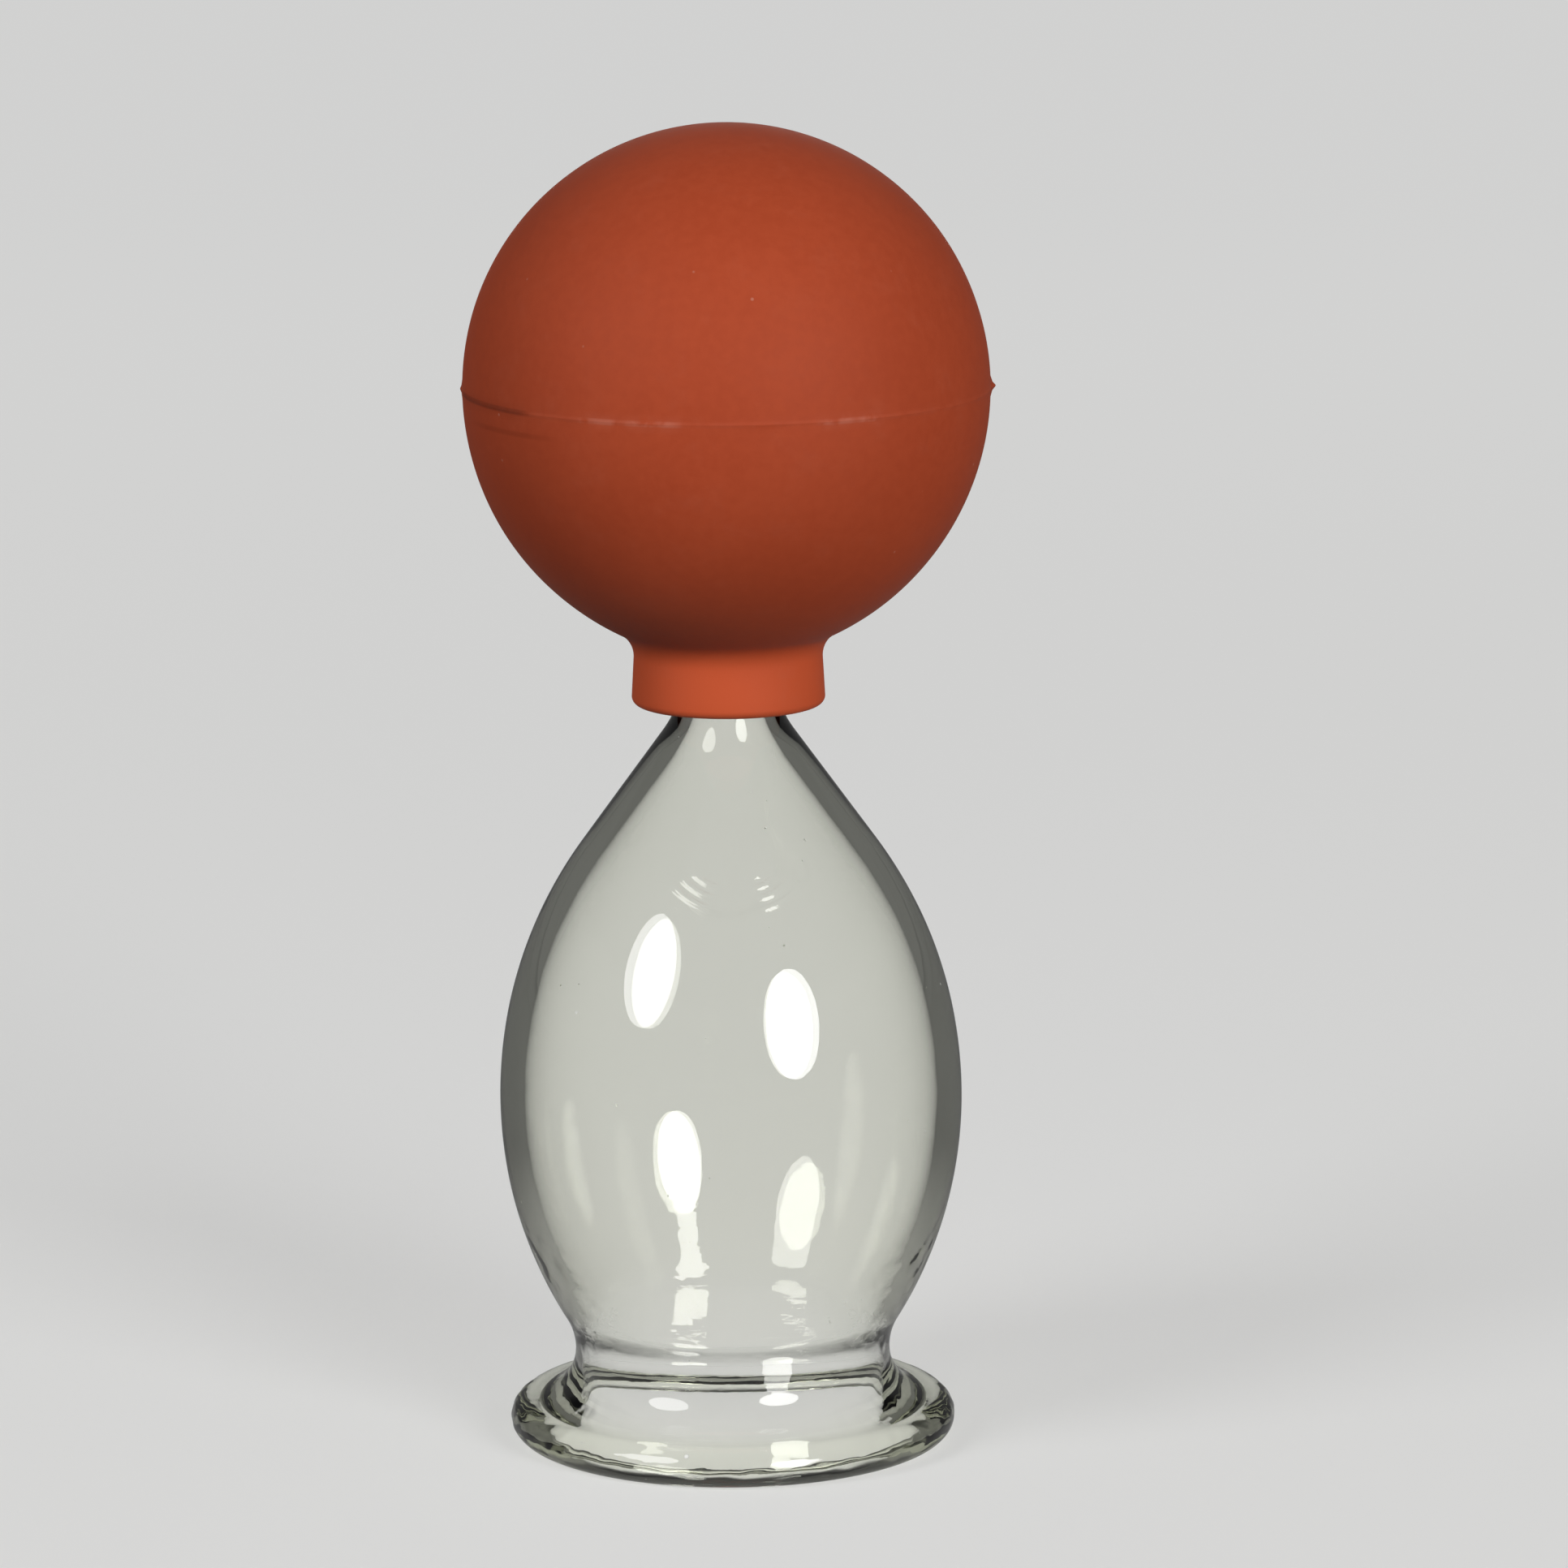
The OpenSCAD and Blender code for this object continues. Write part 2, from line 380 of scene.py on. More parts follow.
def turnedWallTree(shape):
    tree = bpy.data.node_groups.new("turnedWall", "GeometryNodeTree")
    tree.interface.new_socket("Geometry", in_out="OUTPUT", socket_type="NodeSocketGeometry")
    tree.interface.new_socket("Geometry", in_out="INPUT", socket_type="NodeSocketGeometry")
    for name, kind in wallInputs:
        tree.interface.new_socket(name, in_out="INPUT", socket_type=kind)
    bench = Bench(tree)
    given = bench.add("NodeGroupInput")
    outline = given.out("Geometry")
    count = bench.add("GeometryNodeAttributeDomainSize", {"component": "MESH"},
                      {"Geometry": outline}, out="Point Count")
    rows = count + given.out("Closed outline")
    sheet = bench.add("GeometryNodeMeshGrid", {}, {
        "Size X": 1.0, "Size Y": 1.0, "Vertices X": given.out("Steps round") + 1, "Vertices Y": rows})
    where = bench.add("GeometryNodeInputPosition")
    flat = bench.add("ShaderNodeSeparateXYZ", {}, {"Vector": where})
    turn = (flat.out("X") + 0.5) * (2 * math.pi)
    row = flat.maths("FLOOR", (flat.out("Y") + 0.5) * (rows - 1) + 0.5) % count

    def fromOutline(dataType, value):
        return bench.add("GeometryNodeSampleIndex", {"data_type": dataType, "domain": "POINT"},
                         {"Geometry": outline, "Value": value, "Index": row})

    weights = {}
    for name in wallWeights:
        stored = bench.add("GeometryNodeInputNamedAttribute", {"data_type": "FLOAT"}, {"Name": name})
        weights[name] = fromOutline("FLOAT", stored)
    point = bench.add("ShaderNodeSeparateXYZ", {}, {"Vector": fromOutline("FLOAT_VECTOR", where)})
    cosine = flat.maths("COSINE", turn)
    sine = flat.maths("SINE", turn)
    radius = point.out("X")
    even = bench.add("ShaderNodeCombineXYZ", {}, {
        "X": radius * cosine, "Y": radius * sine, "Z": point.out("Z")})
    seed = given.out("Seed")
    slow = bench.noise(even, given.out("Slow scale"), detail=1, seed=seed) - 0.5
    stretch = given.out("Fine stretch")
    wrinkled = bench.add("ShaderNodeVectorMath", {"operation": "MULTIPLY"}, {
        0: even, 1: bench.add("ShaderNodeCombineXYZ", {}, {"X": stretch, "Y": stretch, "Z": 1.0})})
    fine = bench.noise(wrinkled, given.out("Fine scale"), detail=2, seed=seed + shape["fineSeed"]) - 0.5
    # A tool mark of close rings about one point of the wall, left only to both sides below it
    fromMark = bench.add("ShaderNodeVectorMath", {"operation": "SUBTRACT"},
                         {0: even, 1: given.out("Mark centre")})
    away = bench.add("ShaderNodeVectorMath", {"operation": "LENGTH"}, {0: fromMark}, out="Value")
    offset = bench.add("ShaderNodeSeparateXYZ", {}, {"Vector": fromMark})
    reach = given.out("Mark radius")
    inRing = bench.ramp(away / reach, *shape["ringInner"])
    inRing = inRing * bench.ramp(away / reach, *shape["ringOuter"], 1.0, 0.0)
    inRing = inRing * bench.ramp(abs(offset.out("X")) / away, *shape["ringSideways"])
    inRing = inRing * bench.ramp(offset.out("Z") / away, *shape["ringBelow"], 1.0, 0.0)
    rings = away.maths("SINE", away / given.out("Mark pitch") * (2 * math.pi)) * inRing
    # Two nubs of flash stand out at opposite ends of the seam, the left one smaller
    width = given.out("Nub width")
    rightNub = bench.ramp(cosine, 1 - width, 1.0)
    leftNub = bench.ramp(cosine * -1, 1 - width * shape["leftNubWidth"], 1.0) * shape["leftNub"]
    uneven = weights["fineDepth"] + weights["sideDepth"] * cosine ** shape["sidePower"]
    out = weights["slowDepth"] * slow * 2 + uneven * fine * 2
    out = out + weights["band"] ** 2.0 * given.out("Nub depth") * (rightNub + leftNub)
    out = out + weights["marked"] * given.out("Mark depth") * rings
    moved = bench.add("ShaderNodeCombineXYZ", {}, {
        "X": (radius + out) * cosine, "Y": (radius + out) * sine, "Z": point.out("Z")})

    wall = sheet
    for name in ("flash", "band"):
        wall = bench.add("GeometryNodeStoreNamedAttribute", {"data_type": "FLOAT", "domain": "POINT"},
                         {"Geometry": wall, "Name": name, "Value": weights[name]})
    wall = bench.add("GeometryNodeSetPosition", {}, {"Geometry": wall, "Position": moved})
    wall = bench.add("GeometryNodeMergeByDistance", {}, {"Geometry": wall, "Distance": shape["mergeGap"]})
    wall = bench.add("GeometryNodeSetShadeSmooth", {}, {"Geometry": wall, "Shade Smooth": True})
    wall = bench.add("GeometryNodeRealizeInstances", {}, {"Geometry": wall})
    wall = bench.add("GeometryNodeSetMaterial", {}, {"Geometry": wall, "Material": given.out("Material")})
    bench.add("NodeGroupOutput", {}, {"Geometry": wall})
    return tree


turnedWall = turnedWallTree(wallShape)
fewestSteps = 3             # on an arc
widestTurn = 8              # degrees between two of its points
sameSpot = 0.001 * mm       # points closer than this are one


def arcPoints(x, z, radius, start, end, spacing):
    span = abs(math.radians(end - start)) * radius
    steps = max(fewestSteps, math.ceil(span / spacing), math.ceil(abs(end - start) / widestTurn))
    angles = [math.radians(start + (end - start) * i / steps) for i in range(steps + 1)]
    return [(x + radius * math.cos(a), z + radius * math.sin(a)) for a in angles]


def joinRuns(runs, spacing):
    points = []
    for point in (p for run in runs for p in run):
        gap = math.dist(points[-1], point) if points else 0.0
        if points and gap < sameSpot:
            continue
        steps = math.ceil(gap / (2 * spacing))      # long straight stretches get points of their own
        for i in range(1, steps):
            last = points[-1]
            share = 1 / (steps - i + 1)
            points.append((last[0] + (point[0] - last[0]) * share, last[1] + (point[1] - last[1]) * share))
        points.append(point)
    if math.dist(points[0], points[-1]) < sameSpot:
        points.pop()
    return points


def smooth(value, low, high):
    t = min(max((value - low) / (high - low), 0.0), 1.0)
    return t * t * (3 - 2 * t)


def window(value, low, high, soft):
    return smooth(value, low - soft, low + soft) * (1 - smooth(value, high - soft, high + soft))


def turnPiece(name, points, weights, settings):
    outline = bpy.data.meshes.new(name + "Outline")
    outline.from_pydata([(r, 0, z) for r, z in points], [(i, i + 1) for i in range(len(points) - 1)], [])
    for key in wallWeights:
        values = weights.get(key, [0.0] * len(points))
        outline.attributes.new(key, "FLOAT", "POINT").data.foreach_set("value", values)
    former = bpy.data.objects.new(name + "Former", outline)
    bpy.context.scene.collection.objects.link(former)
    modifier = former.modifiers.new("turned", "NODES")
    modifier.node_group = turnedWall
    for item in turnedWall.interface.items_tree:
        if item.in_out == "INPUT" and item.name in settings:
            modifier[item.identifier] = settings[item.name]
    graph = bpy.context.evaluated_depsgraph_get()
    mesh = bpy.data.meshes.new_from_object(former.evaluated_get(graph), preserve_all_data_layers=True,
                                           depsgraph=graph)
    bpy.data.objects.remove(former)
    mesh.name = name
    mesh.set_sharp_from_angle(angle=math.radians(wallShape["sharpDeg"]))
    piece = bpy.data.objects.new(name, mesh)
    bpy.context.scene.collection.objects.link(piece)
    print(name, len(mesh.vertices), "points", len(mesh.polygons), "faces")
    return piece


# Glass cup: rolled rim, crinkled waist, belly, shoulder with tool ripples, neck with a lip

glassCup = dict(
    rimR=24.9 * mm,
    beadR=2.33 * mm,
    landW=1.4 * mm,
    mouthEdge=1.2 * mm,
    waistR=17.6 * mm,
    waistZ=10 * mm,
    waistCurve=7.7 * mm,
    bellyR=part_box("glass_cup")[1].x,
    bellyZ=39 * mm,
    shoulderDeg=36,
    wall=2.7 * mm,
    throatR=16.3 * mm,          # the inside is narrowest a little above the waist
    throatZ=13 * mm,
    throatCurve=6 * mm,
    throatRun=6.6 * mm,         # straight stretch of the inside above it
    neckR=5 * mm,
    neckWall=1.5 * mm,
    neckFlare=12 * mm,
    neckZ=87.4 * mm,
    neckTop=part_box("glass_cup")[1].z,
    neckLip=0.4 * mm,
    spacing=0.75 * mm,
    waistRows=0.40,             # shares of the spacing, where the wall bends most or carries highlights
    shoulderRows=0.35,
    bellyRows=0.80,
    runRows=0.45,
    throatRows=0.25,
    stepsRound=240,
    handDepth=0.05 * mm,        # slow unevenness of a hand-blown wall
    handBand=(9 * mm, 74 * mm, 5 * mm),     # from, to and softness of the ends, here and below
    handScale=48.0,
    rimDepth=0.20 * mm,         # wavy rim
    rimBand=(1.4 * mm, 6.0 * mm, 1.0 * mm),
    puckerDepth=0.03 * mm,      # fine puckers inside, just below the waist
    puckerBand=(6.5 * mm, 10 * mm, 2 * mm),
    wrinkleDepth=0.26 * mm,     # deeper wrinkles inside, above the waist at the left and right
    wrinkleBand=(11 * mm, 24 * mm, 3 * mm),
    wrinkleScale=880.0,
    wrinkleStretch=0.45,
    markTurn=-86.7,             # rings left by the shaping tool on the shoulder, degrees round and height
    markZ=69 * mm,
    markBand=(56 * mm, 80 * mm, 2 * mm),
    markRadius=9.5 * mm,
    markPitch=1.25 * mm,
    markDepth=0.09 * mm,
    seed=3.0,
)


def glassOutline(g):
    beadX = g["rimR"] - g["beadR"]
    landR = beadX - g["landW"]
    skirtIn = g["waistR"] - beadX
    skirtDrop = g["waistZ"] - g["beadR"]
    skirtCurve = (skirtIn ** 2 + skirtDrop ** 2 - g["beadR"] ** 2) / (2 * (g["beadR"] - skirtIn))
    skirtX = g["waistR"] + skirtCurve
    skirtTurn = math.degrees(math.atan2(skirtDrop, skirtX - beadX))

    throatR = g["throatR"]
    mouthIn = throatR - landR
    mouthDrop = g["throatZ"] - g["mouthEdge"]
    mouthCurve = (g["mouthEdge"] ** 2 - mouthIn ** 2 - mouthDrop ** 2) / (2 * (mouthIn + g["mouthEdge"]))
    mouthX = throatR + mouthCurve
    mouthTurn = math.degrees(math.atan2(mouthDrop, mouthX - landR))

    waistX = g["waistR"] + g["waistCurve"]
    bellyDrop = g["bellyZ"] - g["waistZ"]
    lowerCurve = ((waistX - g["bellyR"]) ** 2 + bellyDrop ** 2 - g["waistCurve"] ** 2)
    lowerCurve = lowerCurve / (2 * (g["bellyR"] - g["waistR"]))
    lowerX = g["bellyR"] - lowerCurve
    waistTurn = math.degrees(math.atan2(bellyDrop, waistX - lowerX))

    lean = math.radians(g["shoulderDeg"])
    flareX = g["neckR"] + g["neckFlare"]
    shoulderX = flareX - g["neckFlare"] * math.cos(lean)
    shoulderZ = g["neckZ"] - g["neckFlare"] * math.sin(lean)
    upperCurve = (shoulderX - g["bellyR"]) * math.cos(lean) + (shoulderZ - g["bellyZ"]) * math.sin(lean)
    upperCurve = upperCurve / (1 - math.cos(lean))
    upperX = g["bellyR"] - upperCurve

    innerR = g["bellyR"] - g["wall"]
    innerFlare = g["neckFlare"] + g["neckWall"]
    innerNeckZ = g["neckZ"] - (g["wall"] - g["neckWall"]) / math.sin(lean)
    innerDrop = g["bellyZ"] - g["throatZ"]
    slope = 2 * math.atan2(innerR - throatR, innerDrop + g["throatRun"])
    hollow = g["throatCurve"]
    innerLower = (innerDrop - g["throatRun"] * math.cos(slope)) / math.sin(slope) - hollow
    cone = math.degrees(slope)

    lipR = (g["neckWall"] + g["neckLip"]) / 2
    lipX = g["neckR"] + g["neckLip"] - lipR
    lipTurn = math.degrees(math.acos((g["neckR"] - lipX) / lipR))

    step = g["spacing"]
    deg = g["shoulderDeg"]
    outside = joinRuns([
        arcPoints(beadX, g["beadR"], g["beadR"], -90, skirtTurn, step),
        arcPoints(skirtX, g["waistZ"], skirtCurve, 180 + skirtTurn, 180, step),
        arcPoints(waistX, g["waistZ"], g["waistCurve"], 180, 180 - waistTurn, g["waistRows"] * step),
        arcPoints(lowerX, g["bellyZ"], lowerCurve, -waistTurn, 0, step),
        arcPoints(upperX, g["bellyZ"], upperCurve, 0, deg, step),
        arcPoints(flareX, g["neckZ"], g["neckFlare"], 180 + deg, 180, step),
        arcPoints(lipX, g["neckTop"] - lipR, lipR, -lipTurn, 90, step),
    ], step)
    lowerInside = joinRuns([        # close rows, because the lower highlights lie here
        arcPoints(innerR - innerLower, g["bellyZ"], innerLower, 0, -cone, g["bellyRows"] * step),
        arcPoints(throatR + hollow, g["throatZ"], hollow, 180 - cone, 180, g["throatRows"] * step),
    ], g["runRows"] * step)
    inside = joinRuns([
        arcPoints(lipX, g["neckTop"] - lipR, lipR, 90, 180, step),
        arcPoints(flareX, innerNeckZ, innerFlare, 180, 180 + deg, step),
        arcPoints(upperX, g["bellyZ"], upperCurve - g["wall"], deg, 0, g["shoulderRows"] * step),
        lowerInside,
        arcPoints(mouthX, g["throatZ"], mouthCurve, 180, 180 + mouthTurn, step),
        arcPoints(landR, g["mouthEdge"], g["mouthEdge"], 180 + mouthTurn, 270, step),
    ], step)
    return outside, inside[1:]


def glassPiece(g):
    outside, inside = glassOutline(g)
    slow = []
    fine = []
    sides = []
    marked = []
    points = []
    for side, run in ((0, outside), (1, inside)):
        for r, z in run:
            slow.append(g["handDepth"] * window(z, *g["handBand"]))
            rim = g["rimDepth"] * window(z, *g["rimBand"])
            waist = g["puckerDepth"] * window(z, *g["puckerBand"]) * side
            fine.append(rim + waist)
            sides.append(g["wrinkleDepth"] * window(z, *g["wrinkleBand"]) * side)
            marked.append(side * window(z, *g["markBand"]))
            points.append((r, z))
            if side and z > g["markZ"]:
                markR = r
    turn = math.radians(g["markTurn"])
    return turnPiece("glassWall", points, {
        "slowDepth": slow, "fineDepth": fine, "sideDepth": sides, "marked": marked}, {
        "Steps round": g["stepsRound"], "Closed outline": 1, "Slow scale": g["handScale"],
        "Fine scale": g["wrinkleScale"], "Fine stretch": g["wrinkleStretch"],
        "Mark centre": (markR * math.cos(turn), markR * math.sin(turn), g["markZ"]),
        "Mark pitch": g["markPitch"], "Mark depth": g["markDepth"], "Mark radius": g["markRadius"],
        "Nub depth": 0.0, "Nub width": 0.001, "Seed": g["seed"], "Material": clearGlass})


glassWall = glassPiece(glassCup)
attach(glassWall, "glass")
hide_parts("glass_cup")


# Rubber bulb: two halves of one hollow moulding that meet at the flash of the mould seam

bulb = dict(
    seamZ=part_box("bulb_upper_half")[0].z,
    crownZ=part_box("bulb_upper_half")[1].z,
    mouthZ=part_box("bulb_lower_half")[0].z,
    lowerExtra=1.2 * mm,
    wall=3 * mm,
    flashOut=0.05 * mm,
    flashHalf=0.42 * mm,
    bandHalf=1.1 * mm,
    collarR=10.45 * mm,
    collarLen=5.4 * mm,
    collarSpread=0.25 * mm,
    collarFillet=3.1 * mm,
    collarEdge=0.9 * mm,
    fitGap=0.05 * mm,
    seatSpread=0.3 * mm,
    seamFaceIn=0.8 * mm,        # the halves' meeting faces start this far in from the outside
    spacing=0.75 * mm,
    hiddenSpacing=1.2 * mm,     # wider rows inside, where nothing shows
    filletRows=0.60,            # shares of the spacing
    edgeRows=0.30,
    flashSteps=6,
    flashPower=1.5,
    flashFade=0.8,
    stepsRound=300,
    dentDepth=0.08 * mm,
    dentScale=42.0,
    dentBand=(14 * mm, 60 * mm, 6 * mm),        # radii with dents, none on the collar
    dentFrom=(1 * mm, 9 * mm),                  # heights from the seam over which they set in
    flashRough=0.09 * mm,
    flashScale=260.0,
    nubDepth=0.50 * mm,
    nubWidth=0.0008,
    seed=5.0,
)


def flashRun(surface, b):
    # The ridge rises from the ball's surface to its crest at the seam
    half = b["flashHalf"]
    steps = b["flashSteps"]
    heights = [half * (1 - i / steps) for i in range(steps + 1)]
    return [(surface(h) + b["flashOut"] * (1 - h / half) ** b["flashPower"], h) for h in heights]


def upperOutline(b):
    ballR = b["crownZ"] - b["seamZ"]
    innerR = ballR - b["wall"]
    rise = math.degrees(math.asin(b["flashHalf"] / ballR))
    crest = flashRun(lambda h: math.sqrt(ballR ** 2 - h ** 2), b)[::-1]
    outer = arcPoints(0, b["seamZ"], ballR, rise, 90, b["spacing"])
    inner = arcPoints(0, b["seamZ"], innerR, 90, 0, b["hiddenSpacing"])
    points = [(r, b["seamZ"] + h) for r, h in crest] + outer[1:-1] + [(0.0, b["crownZ"])]
    return points, [(0.0, b["seamZ"] + innerR)] + inner[1:] + [(ballR - b["seamFaceIn"], b["seamZ"])]


def lowerOutline(b, g):
    ballR = b["crownZ"] - b["seamZ"]
    curve = ballR + b["lowerExtra"]
    boreR = g["neckR"] + g["neckLip"] + b["fitGap"]
    flareX = g["neckR"] + g["neckFlare"]
    seatCurve = g["neckFlare"] - b["fitGap"]
    seatTop = math.degrees(math.acos((flareX - boreR) / seatCurve))
    seatLow = math.degrees(math.acos((flareX - boreR - b["seatSpread"]) / seatCurve))
    innerCurve = curve - b["wall"]
    boreTurn = math.degrees(math.acos((boreR + b["lowerExtra"]) / innerCurve))
    edgeX = b["collarR"] + b["collarSpread"] - b["collarEdge"]
    filletX = b["collarR"] + b["collarFillet"]
    filletZ = b["mouthZ"] + b["collarLen"]
    filletDrop = b["seamZ"] - filletZ
    filletTurn = math.degrees(math.atan2(filletDrop, filletX + b["lowerExtra"]))
    drop = math.degrees(math.asin(b["flashHalf"] / curve))
    step = b["spacing"]
    crest = flashRun(lambda h: math.sqrt(curve ** 2 - h ** 2) - b["lowerExtra"], b)
    inner = joinRuns([
        arcPoints(flareX, g["neckZ"], seatCurve, 180 + seatLow, 180 + seatTop, step),
        arcPoints(-b["lowerExtra"], b["seamZ"], innerCurve, -boreTurn, 0, b["hiddenSpacing"]),
        [(ballR - b["seamFaceIn"], b["seamZ"])],
    ], step)
    outer = joinRuns([
        arcPoints(-b["lowerExtra"], b["seamZ"], curve, -drop, -filletTurn, step),
        arcPoints(filletX, filletZ, b["collarFillet"], 180 - filletTurn, 180, b["filletRows"] * step),
        arcPoints(edgeX, b["mouthZ"] + b["collarEdge"], b["collarEdge"], 0, -90, b["edgeRows"] * step),
    ], step)
    ridge = [(r, b["seamZ"] - h) for r, h in crest][::-1]
    return inner, ridge + outer[1:]


def bulbPiece(name, outer, inner, b, closed, innerFirst):
    points = []
    slow = []
    flash = []
    band = []
    runs = ((1, inner), (0, outer)) if innerFirst else ((0, outer), (1, inner))
    for hidden, run in runs:
        for r, z in run:
            away = abs(z - b["seamZ"])
            ridge = (1 - hidden) * max(0.0, 1 - away / b["flashHalf"]) ** b["flashFade"]
            onBall = window(r, *b["dentBand"]) * (1 - hidden) * smooth(away, *b["dentFrom"])
            points.append((r, z))
            flash.append(ridge)
            band.append((1 - hidden) * (1 - smooth(away, 0.0, b["bandHalf"])))
            slow.append(b["dentDepth"] * onBall)
    fine = [b["flashRough"] * value for value in flash]
    return turnPiece(name, points, {"slowDepth": slow, "fineDepth": fine, "flash": flash, "band": band}, {
        "Steps round": b["stepsRound"], "Closed outline": closed, "Slow scale": b["dentScale"],
        "Fine scale": b["flashScale"], "Fine stretch": 1.0,
        "Mark depth": 0.0, "Mark pitch": 1.0, "Mark radius": 1.0,
        "Nub depth": b["nubDepth"], "Nub width": b["nubWidth"], "Seed": b["seed"], "Material": rubber})


upperOuter, upperInner = upperOutline(bulb)
lowerInner, lowerOuter = lowerOutline(bulb, glassCup)
bulbUpper = bulbPiece("bulbUpper", upperOuter, upperInner, bulb, 0, False)
bulbLower = bulbPiece("bulbLower", lowerOuter, lowerInner, bulb, 1, True)
halves = ((bulbUpper, "bulb_top", "bulb_upper_half"), (bulbLower, "bulb", "bulb_lower_half"))
for piece, body, node in halves:
    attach(piece, body)
    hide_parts(node)

# The squeeze joint's travel is set against the dome's height, and the upper half is given a mesh of its own
squeeze = next(j for j in frame["joints"] if j["name"] == "bulb_squeeze")
domeHeight = bulb["crownZ"] - bulb["seamZ"]
1 - squeeze["range_m"][1] / domeHeight
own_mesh(bulbUpper)
print("bulb: lower and upper half")


# Stage: pale floor, two round soft lights and a back light, pale surround with a dark room above it

stage = dict(
    floorSize=16.0,
    floorDrop=0.05 * mm,
    floorColour=(0.80, 0.80, 0.79, 1),
    floorBounce=(0.08, 0.08, 0.08, 1),      # what the floor throws back on the object
    floorGlow=0.42,
    glowColour=(1, 1, 0.99, 1),
    surround=(0.64, 0.64, 0.635, 1),
    fill=0.06,
    room=(0.05, 0.05, 0.05, 1),     # above the pale horizon, where only the glass mirrors it
    roomFrom=0.04,
    roomTo=0.45,
    mirrorShade=0.85,               # how much darker the surroundings are in a mirrored ray
    leastShade=0.60,
    shadeFrom=0.0,
    shadeTo=0.14,
    farFrom=0.40,                   # past the shadow the floor fades into the surround
    farTo=1.20,
)
softLights = [
    dict(name="leftLight", turn=-49.8, lift=28.0, distance=2.4, radius=0.60, level=7.0),
    dict(name="rightLight", turn=33.7, lift=16.7, distance=2.4, radius=0.60, level=10.9),
    dict(name="backLight", turn=180.0, lift=8.0, distance=2.4, radius=0.60, level=8.0, hidden=True),
]


def sheetObject(name, corners, material):
    mesh = bpy.data.meshes.new(name)
    mesh.from_pydata(corners, [], [tuple(range(len(corners)))])
    mesh.materials.append(material)
    made = bpy.data.objects.new(name, mesh)
    bpy.context.scene.collection.objects.link(made)


def bentRays(bench):
    path = bench.add("ShaderNodeLightPath")
    return path.maths("MAXIMUM", path.out("Is Glossy Ray"), path.out("Is Transmission Ray"))


def seenRays(bench):
    bent = bentRays(bench)
    return bent.maths("MAXIMUM", bent, bench.add("ShaderNodeLightPath", out="Is Camera Ray"))


def mirroredRays(bench):
    depth = bench.add("ShaderNodeLightPath", out="Glossy Depth")
    return depth.maths("MINIMUM", depth, 1.0)


floorMaterial, floorBench = newMaterial("paleFloor")
floorLit = floorBench.add("ShaderNodeBsdfDiffuse", {}, {"Color": stage["floorColour"]})
floorGlow = floorBench.add("ShaderNodeEmission", {}, {"Color": stage["glowColour"], "Strength": 1.0})
floorPale = floorBench.add("ShaderNodeMixShader", {}, {0: stage["floorGlow"], 1: floorLit, 2: floorGlow})
floorDim = floorBench.add("ShaderNodeBsdfDiffuse", {}, {"Color": stage["floorBounce"]})
floorPlace = floorBench.add("ShaderNodeTexCoord", out="Object")
floorAway = floorBench.add("ShaderNodeVectorMath", {"operation": "LENGTH"}, {0: floorPlace}, out="Value")
floorFar = floorBench.add("ShaderNodeEmission", {}, {"Color": stage["surround"], "Strength": 1.0})
floorFade = floorBench.ramp(floorAway, stage["farFrom"], stage["farTo"])
floorPale = floorBench.add("ShaderNodeMixShader", {}, {0: floorFade, 1: floorPale, 2: floorFar})
floorShade = floorBench.ramp(floorAway, stage["shadeFrom"], stage["shadeTo"], stage["leastShade"], 1.0)
floorShade = floorShade * stage["mirrorShade"]
floorSeen = seenRays(floorBench) * (1 - mirroredRays(floorBench) * floorShade)
floorShader = floorBench.add("ShaderNodeMixShader", {}, {0: floorSeen, 1: floorDim, 2: floorPale})
floorBench.add("ShaderNodeOutputMaterial", {}, {"Surface": floorShader})
half = stage["floorSize"] / 2
floorCorners = [(-half, -half), (half, -half), (half, half), (-half, half)]
sheetObject("floor", [(x, y, -stage["floorDrop"]) for x, y in floorCorners], floorMaterial)

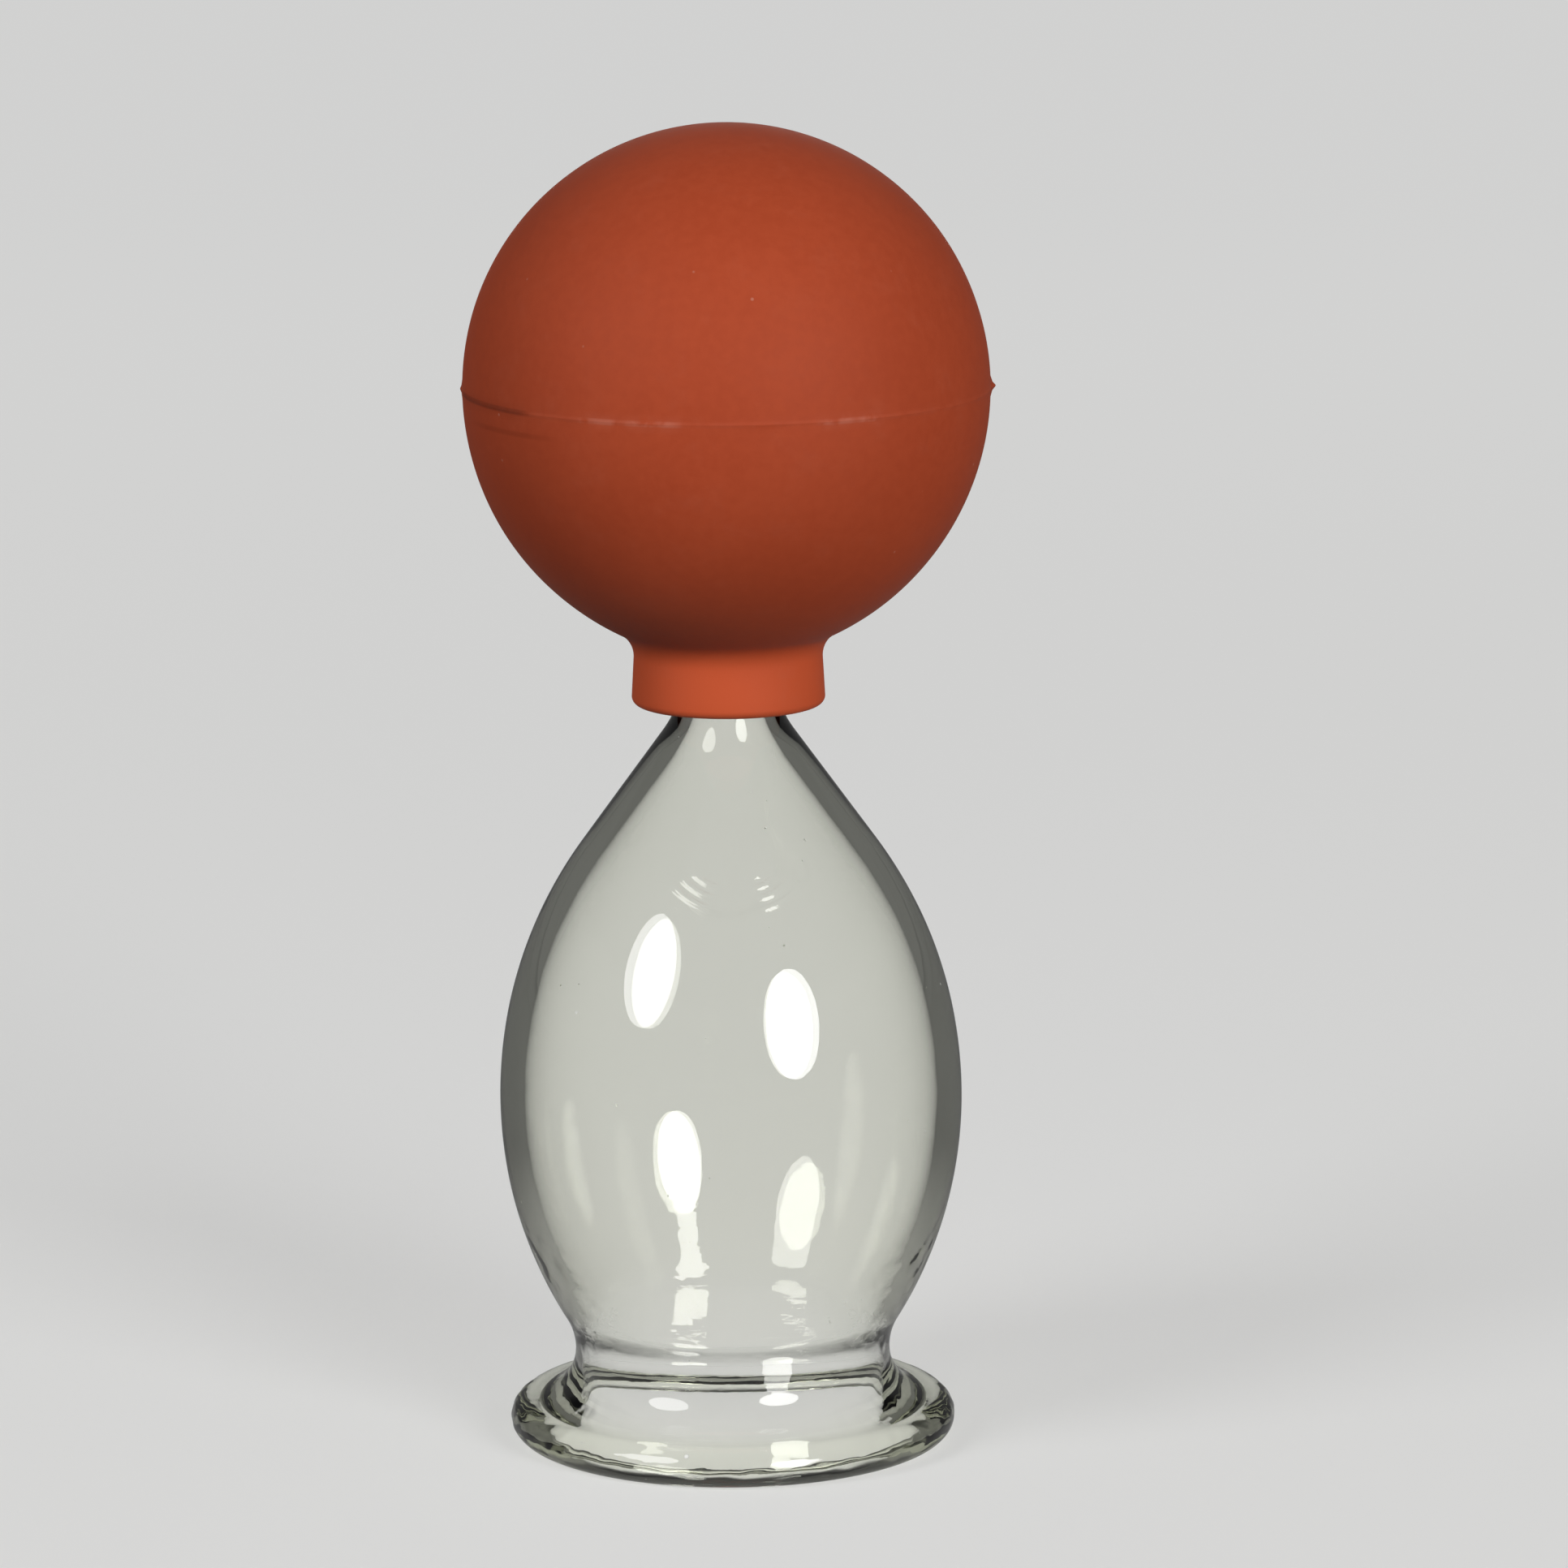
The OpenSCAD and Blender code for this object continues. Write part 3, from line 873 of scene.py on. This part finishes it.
middle = Vector((0, 0, bulb["crownZ"] / 2))
for spec in softLights:
    turn = math.radians(spec["turn"])
    lift = math.radians(spec["lift"])
    way = Vector((math.sin(turn) * math.cos(lift), -math.cos(turn) * math.cos(lift), math.sin(lift)))
    lamp = bpy.data.lights.new(spec["name"], "AREA")
    lamp.shape = "DISK"
    lamp.size = 2 * spec["radius"]
    lamp.energy = spec["level"] * math.pi * math.pi * spec["radius"] ** 2     # level is the disc's radiance
    lampObject = bpy.data.objects.new(spec["name"], lamp)
    lampObject.location = middle + way * spec["distance"]
    lampObject.rotation_euler = way.to_track_quat("Z", "Y").to_euler()
    lampObject.visible_camera = False
    if spec.get("hidden"):
        lampObject.visible_glossy = False
        lampObject.visible_transmission = False
        lamp.use_shadow = False
    bpy.context.scene.collection.objects.link(lampObject)

world = bpy.context.scene.world or bpy.data.worlds.new("studio")
bpy.context.scene.world = world
world.use_nodes = True
world.node_tree.nodes.clear()
sky = Bench(world.node_tree)
way = sky.add("ShaderNodeSeparateXYZ", {}, {"Vector": sky.add("ShaderNodeTexCoord", out="Generated")})
upward = sky.ramp(way.out("Z"), stage["roomFrom"], stage["roomTo"]) * bentRays(sky)
upward = upward.maths("MAXIMUM", upward, mirroredRays(sky) * stage["mirrorShade"])
shown = sky.add("ShaderNodeBackground", {}, {
    "Color": sky.blend(upward, stage["surround"], stage["room"]), "Strength": 1.0})
fill = sky.add("ShaderNodeBackground", {}, {"Color": (1, 1, 1, 1), "Strength": stage["fill"]})
skyShader = sky.add("ShaderNodeMixShader", {}, {0: seenRays(sky), 1: fill, 2: shown})
sky.add("ShaderNodeOutputWorld", {}, {"Surface": skyShader})
print("stage: floor and lights")


# Camera: a long lens a little above the bulb, looking slightly down

view = dict(
    place=(0.0, -0.883, 0.24425),
    pitch=10.9,
    yaw=0.395,
    roll=-0.3,
    lens=186.3,
    sensor=36.0,
    clip=(0.01, 50.0),
)
camera = bpy.data.objects.new("camera", bpy.data.cameras.new("camera"))
camera.data.lens = view["lens"]
camera.data.sensor_width = view["sensor"]
camera.data.clip_start, camera.data.clip_end = view["clip"]
turned = Matrix.Rotation(math.radians(-view["yaw"]), 4, "Z")
tipped = Matrix.Rotation(math.radians(90 - view["pitch"]), 4, "X")
rolled = Matrix.Rotation(math.radians(view["roll"]), 4, "Z")
camera.matrix_world = Matrix.Translation(view["place"]) @ turned @ tipped @ rolled
bpy.context.scene.collection.objects.link(camera)
bpy.context.scene.camera = camera
bpy.context.scene.view_settings.view_transform = "Standard"
print("camera set")
